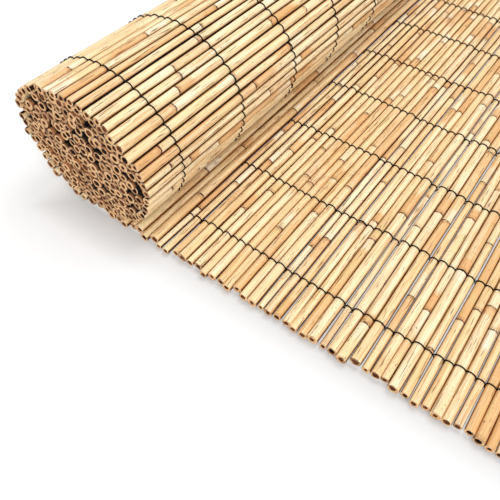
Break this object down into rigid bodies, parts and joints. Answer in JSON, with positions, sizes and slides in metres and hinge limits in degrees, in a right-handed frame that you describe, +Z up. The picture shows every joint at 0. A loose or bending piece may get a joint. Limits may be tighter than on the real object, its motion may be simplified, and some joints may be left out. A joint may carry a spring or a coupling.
{
  "type": "reed fence",
  "caption": "Roll of reed screening, part unrolled and lying down: round reeds side by side, bound by rows of thin wire.",
  "frame": {"origin": "middle of the footprint, on the floor that the mat lies on", "axes": "+X along the wires from the roll to the loose end, +Y along the reeds from the near ends to the far ends, +Z up"},
  "size_m": [0.5596, 1, 0.149],
  "materials": {
    "reed": "dry straw-coloured cane with a faint natural sheen",
    "wire": "thin dark annealed wire, dull"
  },
  "bodies": {
    "root": {"rolled_reeds": "reed", "laid_reeds": "reed", "wire_row_01": "wire", "wire_row_02": "wire", "wire_row_03": "wire", "wire_row_04": "wire", "wire_row_05": "wire", "wire_row_06": "wire", "wire_row_07": "wire", "wire_row_08": "wire", "wire_row_09": "wire", "wire_row_10": "wire"}
  },
  "joints": []
}
